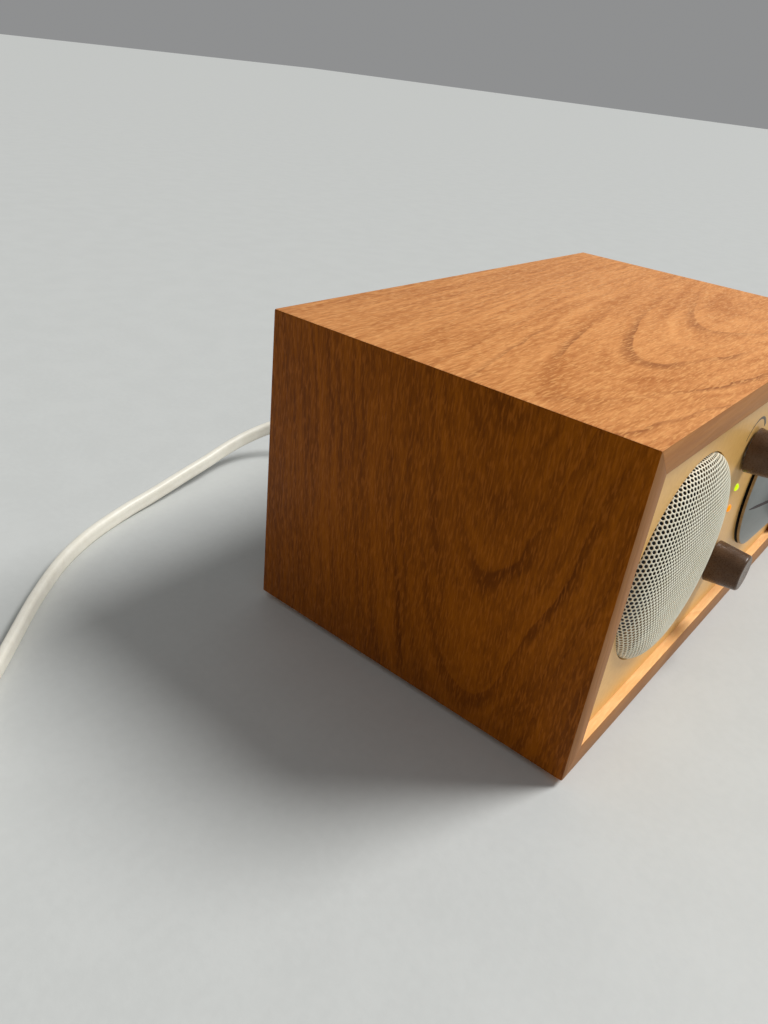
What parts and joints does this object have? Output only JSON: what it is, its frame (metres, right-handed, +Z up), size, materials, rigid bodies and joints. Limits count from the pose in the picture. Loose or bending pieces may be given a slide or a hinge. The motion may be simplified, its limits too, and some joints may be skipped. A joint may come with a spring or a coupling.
{
  "type": "table radio",
  "caption": "Small table radio in a wooden cabinet with a domed grille, two small knobs, two lamps, a large tuning dial and a flat white power cord with a plug.",
  "frame": {"origin": "centre of the cabinet's and knobs' footprint, at the undersides of the feet, without the cord", "axes": "+X to the radio's right seen from the front, +Y to its back, +Z up"},
  "size_m": [0.4092, 0.2367, 0.1124],
  "materials": {
    "cabinet_wood": "satin",
    "pine": "matte",
    "fibreboard": "matte",
    "panel_paint": "satin",
    "back_board": "matte",
    "screw_steel": "satin",
    "foot_rubber": "matte",
    "grille_paint": "satin",
    "foam": "matte",
    "basket_paint": "satin",
    "cone_paper": "matte",
    "spider_cloth": "matte",
    "plated_steel": "satin",
    "ferrite": "matte",
    "copper_wire": "satin",
    "knob_plastic": "satin",
    "bright_shaft": "satin",
    "switch_board": "matte",
    "green_lens": "gloss",
    "amber_lens": "gloss",
    "circuit_green": "satin",
    "dial_paint": "satin",
    "turned_brass": "satin",
    "plate_aluminium": "satin",
    "capacitor_sleeve": "gloss",
    "lamination": "matte",
    "clip_plastic": "matte",
    "socket_plastic": "satin",
    "cord_plastic": "satin"
  },
  "bodies": {
    "root": {"top_board": "cabinet_wood", "bottom_board": "cabinet_wood", "left_side": "cabinet_wood", "right_side": "cabinet_wood", "corner_blocks": "pine", "block_screws": "screw_steel", "rubber_feet": "foot_rubber", "front_panel": "panel_paint", "baffle_board": "fibreboard", "back_cleats": "pine", "back_panel": "back_board", "back_screws": "screw_steel", "speaker_grille": "grille_paint", "speaker_gasket": "foam", "speaker_basket": "basket_paint", "speaker_screws": "screw_steel", "speaker_surround": "foam", "speaker_spider": "spider_cloth", "speaker_top_plate": "plated_steel", "speaker_magnet": "ferrite", "speaker_yoke": "plated_steel", "volume_control": "plated_steel", "selector_switch": "switch_board", "control_nuts": "screw_steel", "green_lamp": "green_lens", "amber_lamp": "amber_lens", "lamp_board": "circuit_green", "drive_housing": "plated_steel", "capacitor_posts": "turned_brass", "capacitor_frame": "plated_steel", "capacitor_stator": "plate_aluminium", "circuit_board": "circuit_green", "board_spacers": "turned_brass", "filter_capacitors": "capacitor_sleeve", "coil_cans": "plate_aluminium", "heat_sink": "plate_aluminium", "transformer_core": "lamination", "transformer_winding": "copper_wire", "transformer_screws": "screw_steel", "ferrite_rod": "ferrite", "antenna_coil": "copper_wire", "rod_clips": "clip_plastic", "jack_sockets": "socket_plastic", "strain_relief": "cord_plastic", "power_cord": "cord_plastic", "cord_coil": "cord_plastic", "plug_body": "cord_plastic", "plug_blades": "turned_brass"},
    "cone": {"speaker_cone": "cone_paper", "dust_cap": "cone_paper", "voice_coil": "copper_wire"},
    "volume": {"volume_knob": "knob_plastic", "volume_shaft": "bright_shaft"},
    "selector": {"selector_knob": "knob_plastic", "selector_shaft": "bright_shaft"},
    "dial": {"tuning_dial": "dial_paint", "drive_output": "turned_brass", "capacitor_rotor": "plate_aluminium"},
    "tuning": {"tuning_knob": "knob_plastic", "tuning_shaft": "bright_shaft"}
  },
  "joints": [
    {"name": "volume_turn", "type": "hinge", "parent": "root", "child": "volume", "pos_m": [0, -0.058, 0.0814], "axis": [0, 1, 0], "range_deg": [-150, 150]},
    {"name": "selector_turn", "type": "hinge", "parent": "root", "child": "selector", "pos_m": [0, -0.058, 0.0356], "axis": [0, 1, 0], "range_deg": [-30, 60]},
    {"name": "dial_turn", "type": "hinge", "parent": "root", "child": "dial", "pos_m": [0.053, -0.058, 0.0584], "axis": [0, 1, 0], "range_deg": [0, 180]},
    {"name": "tuning_turn", "type": "hinge", "parent": "root", "child": "tuning", "pos_m": [0.053, -0.058, 0.0584], "axis": [0, 1, 0], "range_deg": [0, 900]},
    {"name": "cone_travel", "type": "slide", "parent": "root", "child": "cone", "axis": [0, -1, 0], "range_m": [-0.001, 0.001], "stiffness_N_per_m": 1500, "deforming": ["speaker_surround", "speaker_spider"]}
  ],
  "couplings": [
    {"joint": "tuning_turn", "follows": "dial_turn", "ratio": 5}
  ]
}
